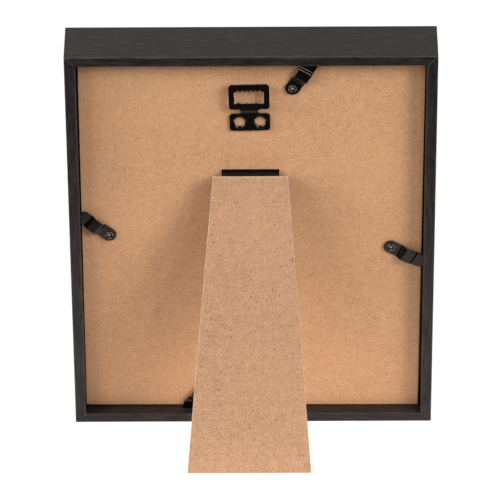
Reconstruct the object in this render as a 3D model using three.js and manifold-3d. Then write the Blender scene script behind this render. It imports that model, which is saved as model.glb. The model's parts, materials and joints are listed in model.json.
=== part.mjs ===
import * as THREE from "three";
import { mergeVertices } from "three/addons/utils/BufferGeometryUtils.js";
import Module from "manifold-3d";

// A picture frame for 203 x 254 mm photos, leaning back on its easel leg. Lengths are in millimetres.
// The pieces are drawn on the upright frame: X runs across it, Y is depth, from 0 at the back of the
// rails forward to minus the depth, and Z is up from the underside. Left and right are as seen from
// behind, where the hardware is, so left is +X. The whole is then tilted back until the rear edge of
// the bottom rail and the foot of the leg stand on the floor.

// Gaps between pieces
const fitGap = 0.3; // two pieces that touch
const mitreGap = 0.3; // the two faces of a mitre
const boardGapLeft = 0.65;
const boardGapRight = 1.05;
const boardGapTop = 1.7;
const glassGap = 1.7; // glass to rebate wall
const insertGap = 2.2; // paper insert to rebate wall

// Rails, all cut from one moulding
const frameWidth = 220;
const frameHeight = 271.5;
const frontThickness = 18.7; // solid part in front of the glass
const lipWidth = 6.2; // ledge that holds the glass
const grooveDepth = 3.2; // groove for the tips of the turn buttons
const grooveWidth = 1.7;
const grooveBack = 3.3; // wall left behind the groove
const edgeRadius = 0.45;

// V-nails across the mitres, driven in from the ledge
const nailWing = 5;
const nailThickness = 0.6;
const nailCover = 8; // rail left in front of a nail

// Glass, paper and backing board
const glassThickness = 1.8;
const insertThickness = 0.4;
const boardThickness = 2.5;
const boardRecess = 8.4; // behind the board, down from the back of the rails
const hardwareShift = 0.6; // hanger and hinge, left of the board's middle

// Claws that hold the hardware in the fibreboard
const clawWidth = 4.4;
const clawThickness = 0.7;
const clawCover = 0.7; // board left in front of a claw's point
const clawWeld = 0.1; // overlap of a claw and the sheet that it is bent from
const clawSlotGap = 0.3;
const clawSpread = 0.25; // share of a leaf's width from its middle to a claw at its edge

// Sawtooth hanger, pressed from one sheet
const hangerDrop = 14.8; // below the top edge of the board
const hangerTurn = 1.2; // off square with the board, in degrees
const hangerThickness = 1;
const hangerRise = 2.4; // step from the plate up to the toothed part
const hangerRim = 1.65; // around the claw holes
const hangerCornerRadius = 2;
const clawHoleSpacing = 12.1;
const clawHoleHalf = 4.4; // centre to corner of a claw hole
const neckWidth = 10;
const neckHeight = 4.7;
const neckFillet = 1.7;
const neckRampMargin = 1; // flat at each end of the sloping neck
const windowSideBar = 3.45;
const windowBottomBar = 4.5;
const windowTopBar = 3.7;
const windowHeight = 7.8; // up to the points of the teeth
const toothCount = 6;
const toothDepth = 1.5;
const toothMargin = 0.95; // plain edge at each end of the teeth

// Turn buttons, bent from strip, and their semi-tubular rivets
const buttonWidth = 8.8;
const buttonThickness = 0.9;
const buttonOverreach = 3.35; // past the wall, for the rivet that is farthest from it
const tipGap = 1.2; // tip to groove floor
const tipGapTop = 2.8; // the top button is turned in less
const humpStart = 6; // rivet to the foot of the hump
const humpRampIn = 2.9;
const humpLength = 5.6;
const humpRampOut = 1.7;
const humpRise = 2.35; // at the end nearer the rivet
const humpFall = 0.3; // along its top
const tipRise = 0.9; // tip above the rivet's end
const rivetShankRadius = 1.8;
const rivetFlangeRadius = 2.7;
const rivetFlangeThickness = 0.4;
const rivetHeadRadius = 3.4;
const rivetHeadThickness = 0.8;
const rivetBoreRadius = 1.4;
const rivetBoreDepth = 1.6;
const rivetInsetTop = 19.1; // board edge to rivet
const rivetInsetBottom = 17.7;
const rivetInsetLeft = 16.45;
const rivetInsetRight = 18.55;
const rivetFromHanger = 13.1; // side of the hanger to the top rivet
const rivetOffsetBottom = 26.6; // from the middle of the board
const rivetOffsetLeft = 3;
const rivetOffsetRight = -6.9;

// Easel leg and its hinge
const legTopWidth = 45;
const legFootWidth = 75;
const legFootShift = 1.5; // middle of the foot, left of the hinge's middle
const legThickness = 3;
const legFootRise = 1.2; // folded leg's end above the underside of the frame
const openAngle = 25.7; // between leg and board, in degrees
const hingeDrop = 31.6; // hanger down to the hinge pin
const hingeSetIn = 5.2; // side of the leg to the end of the hinge
const leafThickness = 0.8;
const boardLeafLength = 16; // below the pin
const boardLeafMargin = 3; // above the pin
const standLeafLength = 20;
const barrelRadius = 1.5;
const pinRadius = 0.85;
const pinGap = 0.15;
const knuckleGap = 0.3; // beside the knuckle and under it
const clawFromPin = 9; // down to the side claws
const noseThickness = 0.8; // nose that stops the leg

// Smoothness of the round parts
const roundSides = 20;
const cornerSegments = 4;

// Sizes that follow
const buttonRadius = buttonWidth / 2;
const wallThickness = grooveBack + grooveDepth;
const faceWidth = wallThickness + lipWidth;
const rebateDepth = boardRecess + boardThickness + insertThickness + glassThickness + 3 * fitGap;
const frameDepth = rebateDepth + frontThickness;
const rebateWidth = frameWidth - 2 * wallThickness;
const rebateHeight = frameHeight - 2 * wallThickness;
const boardLeft = rebateWidth / 2 - boardGapLeft;
const boardRight = boardGapRight - rebateWidth / 2;
const boardTop = frameHeight - wallThickness - boardGapTop;
const boardBottom = wallThickness + fitGap;
const boardX = (boardLeft + boardRight) / 2;
const boardZ = (boardTop + boardBottom) / 2;
const hardwareX = boardX + hardwareShift;
const hardwareSeat = fitGap - boardRecess;
const clawDepth = boardThickness - clawCover + fitGap;
const hangerWidth = clawHoleSpacing + 2 * (clawHoleHalf + hangerRim);
const hangerPlateHeight = 2 * (clawHoleHalf + hangerRim);
const windowBottom = hangerPlateHeight + neckHeight + windowBottomBar;
const hangerHeight = windowBottom + windowHeight + toothDepth + windowTopBar;
const hangerZ = boardTop - hangerDrop - hangerHeight;
const hingeWidth = legTopWidth - 2 * hingeSetIn;
const hingeY = hardwareSeat + leafThickness + knuckleGap + barrelRadius;
const hingeZ = hangerZ - hingeDrop;
const knuckleWidth = hingeWidth - 2 * (leafThickness + knuckleGap);
const legSeat = barrelRadius + fitGap; // pin to the inner face of the leg
const legLength = hingeZ - legFootRise;
const open = THREE.MathUtils.degToRad(openAngle);
const hangerSwing = THREE.MathUtils.degToRad(hangerTurn);

// Directions on the upright frame
const across = new THREE.Vector3(1, 0, 0);
const out = new THREE.Vector3(0, 1, 0);
const up = new THREE.Vector3(0, 0, 1);

const wasm = await Module();
wasm.setup();

// A closed geometry as a solid that can be cut and joined
function solidOf(geometry) {
  const bare = geometry.clone();
  bare.deleteAttribute("normal");
  bare.deleteAttribute("uv");
  const merged = mergeVertices(bare);
  const vertProperties = merged.attributes.position.array;
  return new wasm.Manifold(new wasm.Mesh({ numProp: 3, vertProperties, triVerts: merged.index.array }));
}

function geometryOf(solid) {
  const { vertProperties, triVerts } = solid.getMesh();
  const geometry = new THREE.BufferGeometry();
  geometry.setAttribute("position", new THREE.BufferAttribute(vertProperties, 3));
  geometry.setIndex(new THREE.BufferAttribute(triVerts, 1));
  geometry.computeVertexNormals();
  return geometry;
}

function join(geometries) {
  return geometries.map(solidOf).reduce((whole, solid) => whole.add(solid));
}

// A shape drawn along two directions, with a thickness square to both and centred on them
function extrude(shape, thickness, first, second) {
  const options = { depth: thickness, bevelEnabled: false, curveSegments: cornerSegments };
  const geometry = new THREE.ExtrudeGeometry(shape, options);
  geometry.translate(0, 0, -thickness / 2);
  const third = first.clone().cross(second);
  return geometry.applyMatrix4(new THREE.Matrix4().makeBasis(first, second, third));
}

// A flat plate drawn across and up, from one depth to another
function plate(shape, low, high) {
  return extrude(shape, high - low, across, up).translate(0, (low + high) / 2, 0);
}

function cylinder(radius, low, high) {
  const geometry = new THREE.CylinderGeometry(radius, radius, high - low, roundSides);
  return geometry.translate(0, (low + high) / 2, 0);
}

// An outline whose corners, given as [x, z, radius], are rounded where they have a radius
function roundedShape(corners) {
  const shape = new THREE.Shape();
  corners.forEach(([x, z, radius], i) => {
    const corner = new THREE.Vector2(x, z);
    const previous = new THREE.Vector2(...corners.at(i - 1));
    const next = new THREE.Vector2(...corners.at((i + 1) % corners.length));
    const start = previous.sub(corner).setLength(radius).add(corner);
    const end = next.sub(corner).setLength(radius).add(corner);
    if (i === 0) shape.moveTo(start.x, start.y);
    else shape.lineTo(start.x, start.y);
    if (radius > 0) shape.quadraticCurveTo(x, z, end.x, end.y);
  });
  return shape;
}

// The edge of a bent sheet: its underside follows a path of [along, out] points
function sheetShape(path, thickness) {
  const under = path.map((point) => new THREE.Vector2(...point));
  const normals = under.slice(1).map((point, i) => {
    const run = point.clone().sub(under[i]).normalize();
    return new THREE.Vector2(-run.y, run.x);
  });
  const over = under.map((point, i) => {
    const before = normals.at(Math.max(i - 1, 0));
    const after = normals.at(Math.min(i, normals.length - 1));
    const mitre = before.clone().add(after).divideScalar(1 + before.dot(after));
    return point.clone().addScaledVector(mitre, thickness);
  });
  return new THREE.Shape([...under, ...over.reverse()]);
}

// A pressed part: a bent sheet trimmed to an outline drawn across and up
function pressedSheet(path, thickness, outline, width) {
  const heights = path.map((point) => point[1]);
  const low = Math.min(...heights) - thickness;
  const high = Math.max(...heights) + 2 * thickness;
  const sheet = solidOf(extrude(sheetShape(path, thickness), width, up, out));
  return sheet.intersect(solidOf(plate(outline, low, high)));
}

// A claw that points along -Y from a sheet of a given thickness; its slot is the same shape, grown
function claw(sheetThickness, grow = 0) {
  const half = clawWidth / 2 + grow;
  const shape = new THREE.Shape();
  shape.moveTo(-half, sheetThickness);
  shape.lineTo(-half, 0);
  shape.lineTo(-grow, -clawDepth - grow);
  if (grow > 0) shape.lineTo(grow, -clawDepth - grow);
  shape.lineTo(half, 0);
  shape.lineTo(half, sheetThickness);
  return extrude(shape, clawThickness + 2 * grow, across, out);
}

function finish(color, roughness, metalness = 0) {
  return new THREE.MeshStandardMaterial({ color, roughness, metalness });
}

function blackMetal() {
  return finish(0x1c1a19, 0.42, 0.6);
}

function piece(name, geometry, material, x = 0, y = 0, z = 0) {
  const mesh = new THREE.Mesh(geometry, material);
  mesh.name = name;
  mesh.position.set(x, y, z);
  return mesh;
}

const upright = new THREE.Group();

// Rails and V-nails, one of each at every corner in turn
function railProfile() {
  const grooveMiddle = hardwareSeat + tipRise + buttonThickness / 2;
  const grooveRear = grooveMiddle + grooveWidth / 2;
  const grooveFront = grooveMiddle - grooveWidth / 2;
  return roundedShape([
    [0, -frameDepth, edgeRadius],
    [faceWidth, -frameDepth, edgeRadius],
    [faceWidth, -rebateDepth, 0],
    [wallThickness, -rebateDepth, 0],
    [wallThickness, grooveFront, 0],
    [grooveBack, grooveFront, 0],
    [grooveBack, grooveRear, 0],
    [wallThickness, grooveRear, 0],
    [wallThickness, 0, 0],
    [0, 0, edgeRadius],
  ]);
}

function nail(grow = 0) {
  const near = wallThickness + lipWidth / 2 - nailThickness / 2 - grow;
  const inner = near + nailThickness + 2 * grow;
  const far = near + nailWing + 2 * grow;
  const outline = [[near, near], [far, near], [far, inner], [inner, inner], [inner, far], [near, far]];
  const shape = new THREE.Shape(outline.map((point) => new THREE.Vector2(...point)));
  const head = grow > 0 ? fitGap : -fitGap;
  return plate(shape, nailCover - frameDepth - grow, head - rebateDepth);
}

// The profile runs along Z and its ends are drawn back to the mitres
function rail(length) {
  const setBack = mitreGap / Math.SQRT2;
  const geometry = extrude(railProfile(), length, across, out).translate(0, 0, length / 2);
  const points = geometry.attributes.position;
  for (let i = 0; i < points.count; i += 1) {
    const inset = points.getX(i) + setBack;
    points.setZ(i, points.getZ(i) < length / 2 ? inset : length - inset);
  }
  const slot = solidOf(nail(fitGap));
  const farSlot = solidOf(nail(fitGap).rotateY(Math.PI / 2).translate(0, 0, length));
  return geometryOf(solidOf(geometry).subtract(slot).subtract(farSlot));
}

const halfWidth = frameWidth / 2;
const corners = [
  { rail: "right", nail: "bottom_right", x: -halfWidth, z: 0, length: frameHeight },
  { rail: "top", nail: "top_right", x: -halfWidth, z: frameHeight, length: frameWidth },
  { rail: "left", nail: "top_left", x: halfWidth, z: frameHeight, length: frameHeight },
  { rail: "bottom", nail: "bottom_left", x: halfWidth, z: 0, length: frameWidth },
];
corners.forEach((corner, turn) => {
  const { x, z } = corner;
  const meshes = [
    piece(`rail_${corner.rail}`, rail(corner.length), finish(0x3a3635, 0.5), x, 0, z),
    piece(`v_nail_${corner.nail}`, nail(), finish(0x9a9a98, 0.4, 0.9), x, 0, z),
  ];
  for (const mesh of meshes) mesh.rotation.y = turn * Math.PI / 2;
  upright.add(...meshes);
});

// Glass and paper, resting on the bottom rail
function looseSheet(name, material, gap, thickness, front) {
  const height = rebateHeight - gap - fitGap;
  const geometry = new THREE.BoxGeometry(rebateWidth - 2 * gap, thickness, height);
  const z = wallThickness + fitGap + height / 2;
  upright.add(piece(name, geometry, material, 0, front + thickness / 2, z));
}

const glassFinish = finish(0xdfe8e6, 0.05);
glassFinish.transparent = true;
glassFinish.opacity = 0.35;
looseSheet("glass_pane", glassFinish, glassGap, glassThickness, fitGap - rebateDepth);
const insertFront = -boardRecess - boardThickness - fitGap - insertThickness;
looseSheet("photo_insert", finish(0xf0ece4, 0.85), insertGap, insertThickness, insertFront);

// Sawtooth hanger
const clawHoles = [-clawHoleSpacing / 2, clawHoleSpacing / 2];

function hangerOutline() {
  const half = hangerWidth / 2;
  const neck = neckWidth / 2;
  const shoulder = hangerPlateHeight + neckHeight;
  const shape = roundedShape([
    [-half, 0, hangerCornerRadius],
    [half, 0, hangerCornerRadius],
    [half, hangerPlateHeight, hangerCornerRadius],
    [neck, hangerPlateHeight, neckFillet],
    [neck, shoulder, neckFillet],
    [half, shoulder, hangerCornerRadius],
    [half, hangerHeight, hangerCornerRadius],
    [-half, hangerHeight, hangerCornerRadius],
    [-half, shoulder, hangerCornerRadius],
    [-neck, shoulder, neckFillet],
    [-neck, hangerPlateHeight, neckFillet],
    [-half, hangerPlateHeight, hangerCornerRadius],
  ]);
  const windowHalf = half - windowSideBar;
  const pointZ = windowBottom + windowHeight;
  const toothStart = windowHalf - toothMargin;
  const pitch = 2 * toothStart / toothCount;
  const window = [[-windowHalf, windowBottom], [windowHalf, windowBottom], [windowHalf, pointZ]];
  for (let i = 0; i < toothCount; i += 1) {
    window.push([toothStart - i * pitch, pointZ]);
    window.push([toothStart - (i + 0.5) * pitch, pointZ + toothDepth]);
  }
  window.push([-toothStart, pointZ], [-windowHalf, pointZ]);
  shape.holes.push(new THREE.Path(window.map((point) => new THREE.Vector2(...point))));
  for (const centre of clawHoles) {
    const diamond = [[0, -clawHoleHalf], [clawHoleHalf, 0], [0, clawHoleHalf], [-clawHoleHalf, 0]];
    const points = diamond.map(([x, z]) => new THREE.Vector2(centre + x, hangerPlateHeight / 2 + z));
    shape.holes.push(new THREE.Path(points));
  }
  return shape;
}

// Four claws bent down along the edges of each diamond hole
function hangerClaws(grow) {
  const reach = clawHoleHalf / Math.SQRT2 + clawWeld - clawThickness / 2;
  return clawHoles.flatMap((centre) => [0, 1, 2, 3].map((side) => claw(hangerThickness, grow)
    .translate(0, 0, reach)
    .rotateY((side + 0.5) * Math.PI / 2)
    .translate(centre, 0, hangerPlateHeight / 2)));
}

const hangerPath = [
  [0, 0],
  [hangerPlateHeight + neckRampMargin, 0],
  [hangerPlateHeight + neckHeight - neckRampMargin, hangerRise],
  [hangerHeight, hangerRise],
];
const hangerSheet = pressedSheet(hangerPath, hangerThickness, hangerOutline(), hangerWidth);
const hangerSolid = hangerSheet.add(join(hangerClaws(0)));
const hangerGeometry = geometryOf(hangerSolid).rotateY(hangerSwing);
upright.add(piece("sawtooth_hanger", hangerGeometry, blackMetal(), hardwareX, hardwareSeat, hangerZ));

// Turn buttons: each is swung round, clockwise from behind, until its tip is in the groove
const buttons = [
  {
    side: "top",
    x: hardwareX - hangerWidth / 2 - rivetFromHanger,
    z: boardTop - rivetInsetTop,
    wall: rivetInsetTop + boardGapTop,
    engagement: grooveDepth - tipGapTop,
  },
  {
    side: "left",
    x: boardLeft - rivetInsetLeft,
    z: boardZ + rivetOffsetLeft,
    wall: rivetInsetLeft + boardGapLeft,
    engagement: grooveDepth - tipGap,
  },
  {
    side: "bottom",
    x: boardX + rivetOffsetBottom,
    z: boardBottom + rivetInsetBottom,
    wall: rivetInsetBottom + fitGap,
    engagement: grooveDepth - tipGap,
  },
  {
    side: "right",
    x: boardRight + rivetInsetRight,
    z: boardZ + rivetOffsetRight,
    wall: rivetInsetRight + boardGapRight,
    engagement: grooveDepth - tipGap,
  },
];
const tipCentre = Math.max(...buttons.map((button) => button.wall)) + buttonOverreach - buttonRadius;

function turnButton() {
  const outline = new THREE.Shape();
  outline.absarc(0, 0, buttonRadius, Math.PI, 2 * Math.PI);
  outline.absarc(0, tipCentre, buttonRadius, 0, Math.PI);
  const humpTop = humpStart + humpRampIn;
  const humpEnd = humpTop + humpLength;
  const path = [
    [-buttonRadius, 0],
    [humpStart, 0],
    [humpTop, humpRise],
    [humpEnd, humpRise - humpFall],
    [humpEnd + humpRampOut, tipRise],
    [tipCentre + buttonRadius, tipRise],
  ];
  const hole = solidOf(cylinder(rivetShankRadius + fitGap, -buttonThickness, 2 * buttonThickness));
  return geometryOf(pressedSheet(path, buttonThickness, outline, buttonWidth).subtract(hole));
}

function rivet() {
  const flangeSeat = 2 * fitGap + buttonThickness;
  const flangeTop = flangeSeat + rivetFlangeThickness;
  const roll = rivetFlangeThickness / 2; // the flange is rolled over at its rim and its bore
  const profile = [
    [0, -boardThickness],
    [rivetHeadRadius, -boardThickness],
    [rivetHeadRadius, rivetHeadThickness - boardThickness],
    [rivetShankRadius, rivetHeadThickness - boardThickness],
    [rivetShankRadius, flangeSeat],
    [rivetFlangeRadius, flangeSeat],
    [rivetFlangeRadius, flangeTop - roll],
    [rivetFlangeRadius - roll, flangeTop],
    [rivetBoreRadius + roll, flangeTop],
    [rivetBoreRadius, flangeTop - roll],
    [rivetBoreRadius, flangeTop - rivetBoreDepth],
    [0, flangeTop - rivetBoreDepth],
  ];
  return new THREE.LatheGeometry(profile.map((point) => new THREE.Vector2(...point)), roundSides);
}

buttons.forEach(({ side, x, z, wall, engagement }, turn) => {
  const swing = Math.acos((wall + engagement - buttonRadius) / tipCentre);
  const button = piece(`turn_button_${side}`, turnButton(), blackMetal(), x, hardwareSeat, z);
  button.rotation.y = turn * Math.PI / 2 - swing;
  upright.add(button, piece(`rivet_${side}`, rivet(), blackMetal(), x, -boardRecess, z));
});

// Hinge: an eared leaf on the board, a leaf with a knuckle on the leg, and the pin through both.
// Its pieces are drawn around the pin.
const leafSeat = hardwareSeat - hingeY; // underside of the board's leaf

function barrel(radius, width) {
  return new THREE.CylinderGeometry(radius, radius, width, roundSides).rotateZ(Math.PI / 2);
}

// Two claws at the lower edge of a leaf and one at each side, pointing away from its seat
function leafClaws(width, length, seat, turnOver, grow = 0) {
  const sideX = (width - clawThickness) / 2;
  const edgeZ = clawThickness / 2 - length;
  const places = [
    [-clawSpread * width, edgeZ, 0],
    [clawSpread * width, edgeZ, 0],
    [-sideX, -clawFromPin, Math.PI / 2],
    [sideX, -clawFromPin, Math.PI / 2],
  ];
  return places.map(([x, z, turn]) => claw(leafThickness, grow)
    .rotateX(turnOver)
    .rotateY(turn)
    .translate(x, seat, z));
}

function boardLeafClaws(grow) {
  return leafClaws(hingeWidth, boardLeafLength, leafSeat, 0, grow);
}

function standLeafClaws(grow) {
  return leafClaws(knuckleWidth, standLeafLength, barrelRadius, Math.PI, grow);
}

function boardLeaf() {
  const height = boardLeafLength + boardLeafMargin;
  const leaf = new THREE.BoxGeometry(hingeWidth, leafThickness, height)
    .translate(0, leafSeat + leafThickness / 2, boardLeafMargin - height / 2);
  const ears = [-1, 1].flatMap((side) => {
    const x = side * (hingeWidth - leafThickness) / 2;
    const post = new THREE.BoxGeometry(leafThickness, -leafSeat, 2 * barrelRadius);
    return [post.translate(x, leafSeat / 2, 0), barrel(barrelRadius, leafThickness).translate(x, 0, 0)];
  });
  const bore = solidOf(barrel(pinRadius + pinGap, 2 * hingeWidth));
  return geometryOf(join([leaf, ...ears, ...boardLeafClaws(0)]).subtract(bore));
}

// The nose above the knuckle meets the board's leaf when the leg is open
function standLeaf() {
  const leaf = new THREE.BoxGeometry(knuckleWidth, leafThickness, standLeafLength)
    .translate(0, barrelRadius - leafThickness / 2, -standLeafLength / 2);
  const noseDrop = barrelRadius + knuckleGap - fitGap - noseThickness / 2 * Math.cos(open);
  const noseLength = noseDrop / Math.sin(open);
  const nose = new THREE.BoxGeometry(knuckleWidth, noseThickness, noseLength)
    .translate(0, 0, noseLength / 2);
  const bore = solidOf(barrel(pinRadius + pinGap, 2 * hingeWidth));
  const knuckle = barrel(barrelRadius, knuckleWidth);
  return geometryOf(join([leaf, nose, knuckle, ...standLeafClaws(0)]).subtract(bore));
}

upright.add(piece("hinge_board_leaf", boardLeaf(), blackMetal(), hardwareX, hingeY, hingeZ));
upright.add(piece("hinge_pin", barrel(pinRadius, hingeWidth), blackMetal(), hardwareX, hingeY, hingeZ));

// Easel leg, drawn folded against the board and then opened about the pin
function easelLeg() {
  const shape = new THREE.Shape();
  shape.moveTo(-legTopWidth / 2, 0);
  shape.lineTo(legFootShift - legFootWidth / 2, -legLength);
  shape.lineTo(legFootShift + legFootWidth / 2, -legLength);
  shape.lineTo(legTopWidth / 2, 0);
  const slots = join(standLeafClaws(clawSlotGap));
  return geometryOf(solidOf(plate(shape, legSeat, legSeat + legThickness)).subtract(slots));
}

const stand = new THREE.Group();
stand.add(piece("hinge_stand_leaf", standLeaf(), blackMetal()));
stand.add(piece("easel_leg", easelLeg(), finish(0xcb9d7a, 0.8)));
stand.position.set(hardwareX, hingeY, hingeZ);
stand.rotation.x = open;
upright.add(stand);

// Backing board, with holes for the rivets and slots for the claws
function backingBoard() {
  const front = -boardRecess - boardThickness;
  const blank = new THREE.BoxGeometry(boardLeft - boardRight, boardThickness, boardTop - boardBottom)
    .translate(boardX, front + boardThickness / 2, boardZ);
  const headSeat = front + rivetHeadThickness + fitGap;
  const holes = buttons.flatMap(({ x, z }) => [
    cylinder(rivetShankRadius + fitGap, front - fitGap, fitGap - boardRecess).translate(x, 0, z),
    cylinder(rivetHeadRadius + fitGap, front - fitGap, headSeat).translate(x, 0, z),
  ]);
  const hangerSlots = hangerClaws(clawSlotGap);
  for (const slot of hangerSlots) slot.rotateY(hangerSwing).translate(hardwareX, hardwareSeat, hangerZ);
  const hingeSlots = boardLeafClaws(clawSlotGap);
  for (const slot of hingeSlots) slot.translate(hardwareX, hingeY, hingeZ);
  return geometryOf(solidOf(blank).subtract(join([...holes, ...hangerSlots, ...hingeSlots])));
}

upright.add(piece("backing_board", backingBoard(), finish(0xc99a73, 0.82)));

// Lean: the floor touches the rounded rear edge of the bottom rail and the inner edge of the foot
function legPoint(outward, down) {
  const y = hingeY + outward * Math.cos(open) + down * Math.sin(open);
  const z = hingeZ + outward * Math.sin(open) - down * Math.cos(open);
  return { y, z };
}

const footInner = legPoint(legSeat, legLength);
const footOuter = legPoint(legSeat + legThickness, legLength);
const footY = footInner.y + edgeRadius;
const footZ = footInner.z - edgeRadius;
const lean = Math.atan2(footZ, footY) + Math.asin(edgeRadius / Math.hypot(footY, footZ));
const floorRise = edgeRadius * (Math.sin(lean) + Math.cos(lean) - 1);
const depthOnFloor = (y, z) => y * Math.cos(lean) + z * Math.sin(lean);
const frontmost = depthOnFloor(edgeRadius - frameDepth, edgeRadius) - edgeRadius;
const rearmost = Math.max(depthOnFloor(footOuter.y, footOuter.z), depthOnFloor(0, frameHeight));
upright.rotation.x = -lean;
upright.position.set(0, -(frontmost + rearmost) / 2, -floorRise);

const pictureFrame = new THREE.Group();
pictureFrame.add(upright);
export default pictureFrame;
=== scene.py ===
import json
import math
import bmesh
import bpy
from mathutils import Matrix, Vector


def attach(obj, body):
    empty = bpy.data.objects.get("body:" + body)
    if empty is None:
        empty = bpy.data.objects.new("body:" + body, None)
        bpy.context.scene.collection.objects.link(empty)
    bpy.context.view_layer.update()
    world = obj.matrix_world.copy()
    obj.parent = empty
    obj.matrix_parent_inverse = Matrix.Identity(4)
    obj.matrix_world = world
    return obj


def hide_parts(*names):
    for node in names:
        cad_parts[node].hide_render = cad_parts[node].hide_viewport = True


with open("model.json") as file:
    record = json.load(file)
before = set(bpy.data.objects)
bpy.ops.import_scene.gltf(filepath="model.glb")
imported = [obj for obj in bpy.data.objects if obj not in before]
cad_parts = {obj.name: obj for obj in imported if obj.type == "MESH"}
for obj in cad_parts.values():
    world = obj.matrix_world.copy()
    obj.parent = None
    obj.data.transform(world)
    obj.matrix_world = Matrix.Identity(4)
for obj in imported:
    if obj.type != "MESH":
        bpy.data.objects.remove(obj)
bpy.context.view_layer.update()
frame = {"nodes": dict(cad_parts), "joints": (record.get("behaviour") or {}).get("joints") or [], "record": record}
mounts = {mount["name"]: mount for mount in frame["record"]["mounts"]}
joints = {joint["name"]: joint for joint in frame["joints"]}
scene = bpy.context.scene
mm = 0.001

# Hardware is drawn in millimetres as seen from behind: x to the right, y up, z out of the back.
# The drawing's origin is the middle of the bottom edge, level with the rails' back faces.
frameSize = {"width": 220, "height": 271.5, "wall": 6.5}
outwards = Vector(mounts["wall_face"]["axis"]).normalized()
across = Vector((-1, 0, 0))
upwards = outwards.cross(across)
wallFace = Vector(mounts["wall_face"]["pos_m"])
underside = Vector(mounts["underside"]["pos_m"])
heel = wallFace - upwards * (wallFace - underside).dot(upwards)
fromBehind = Matrix((across, upwards, outwards)).transposed().to_4x4()
fromBehind = Matrix.Translation(heel) @ fromBehind @ Matrix.Scale(mm, 4)
drawnPlace = fromBehind.inverted()


def turnedBy(degrees, axis="Z"):
    return Matrix.Rotation(math.radians(degrees), 4, axis)


def jointPlace(name):  # in the drawing
    return drawnPlace @ Vector(joints[name]["pos_m"])


# Nodes as expressions
def pick(sockets, key):
    if isinstance(key, int):
        return sockets[key]
    found = [socket for socket in sockets if socket.identifier == key]
    return found[0] if found else sockets[key]


class Wire:
    def __init__(self, tree, socket=None):
        self.tree = tree
        self.socket = socket

    def node(self, kind, settings=None, values=None, out=0):
        made = self.tree.nodes.new(kind)
        for name, value in (settings or {}).items():
            setattr(made, name, value)
        for key, value in (values or {}).items():
            target = pick(made.inputs, key)
            for one in value if isinstance(value, list) else [value]:
                if isinstance(one, Wire):
                    self.tree.links.new(one.socket, target)
                else:
                    target.default_value = one
        return Wire(self.tree, pick(made.outputs, out) if made.outputs else None)

    def also(self, out):
        return Wire(self.tree, pick(self.socket.node.outputs, out))

    def math(self, operation, first, second=0.0):
        values = {"Value": first, "Value_001": second}
        return self.node("ShaderNodeMath", {"operation": operation}, values)

    def vector(self, operation, other):
        values = {"Vector": self, "Vector_001": other}
        return self.node("ShaderNodeVectorMath", {"operation": operation}, values, "Vector")

    def __add__(self, other):
        return self.math("ADD", self, other)

    def __sub__(self, other):
        return self.math("SUBTRACT", self, other)

    def __mul__(self, other):
        return self.math("MULTIPLY", self, other)

    def __truediv__(self, other):
        return self.math("DIVIDE", self, other)

    def __rsub__(self, other):
        return self.math("SUBTRACT", other, self)

    __radd__ = __add__
    __rmul__ = __mul__


def noise(place, size, detail=2.0, rough=0.5, distortion=0.0):  # size of a blotch in metres
    values = {
        "Vector": place, "Scale": 1 / size, "Detail": detail, "Roughness": rough, "Distortion": distortion,
    }
    return place.node("ShaderNodeTexNoise", {}, values, "Fac")


def ease(value, low, high):  # 0 below low, 1 above high
    values = {"Value": value, "From Min": low, "From Max": high}
    return value.node("ShaderNodeMapRange", {"interpolation_type": "SMOOTHSTEP"}, values, "Result")


def tint(factor, first, second):
    values = {"Factor_Float": factor}
    for key, colour in (("A_Color", first), ("B_Color", second)):
        values[key] = colour if isinstance(colour, Wire) else (*colour, 1)
    return factor.node("ShaderNodeMix", {"data_type": "RGBA"}, values, "Result_Color")


# Short straight marks, at most one to a cell, each turned at random; fade leaves some of them fainter
def strokes(place, cell, length, width, share, fade=0.0):
    values = {"Vector": place, "Scale": 1 / cell}
    cells = place.node("ShaderNodeTexVoronoi", {"voronoi_dimensions": "2D"}, values)
    chance = cells.node("ShaderNodeSeparateColor", {}, {"Color": cells.also("Color")}, "Red")
    turn = chance.also("Green") * (2 * math.pi)
    away = place.vector("SUBTRACT", cells.also("Position"))
    values = {"Vector": away, "Angle": turn}
    turned = away.node("ShaderNodeVectorRotate", {"rotation_type": "Z_AXIS"}, values)
    along = turned.node("ShaderNodeSeparateXYZ", {}, {"Vector": turned}, "X")
    reach = along.math("ABSOLUTE", along) / (length * 0.5)
    side = along.math("ABSOLUTE", along.also("Y")) / (width * 0.5)
    shape = (1 - ease(reach, 0.5, 1.0)) * (1 - ease(side, 0.3, 1.0))
    return shape * along.math("LESS_THAN", chance, share) * (1 - chance.also("Blue") * fade)


def attribute(wire, name, out="Vector"):
    return wire.node("ShaderNodeAttribute", {"attribute_name": name}, {}, out)


def objectPlace(wire):
    return wire.node("ShaderNodeTexCoord", {}, {}, "Object")


def startMaterial(name):
    material = bpy.data.materials.new(name)
    material.use_nodes = True
    shader = material.node_tree.nodes["Principled BSDF"]
    return material, Wire(material.node_tree), shader


def feed(shader, wire, socket):
    wire.tree.links.new(wire.socket, shader.inputs[socket])


def bump(shader, height, strength, distance):
    values = {"Height": height, "Strength": strength, "Distance": distance}
    feed(shader, height.node("ShaderNodeBump", {}, values), "Normal")


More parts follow.
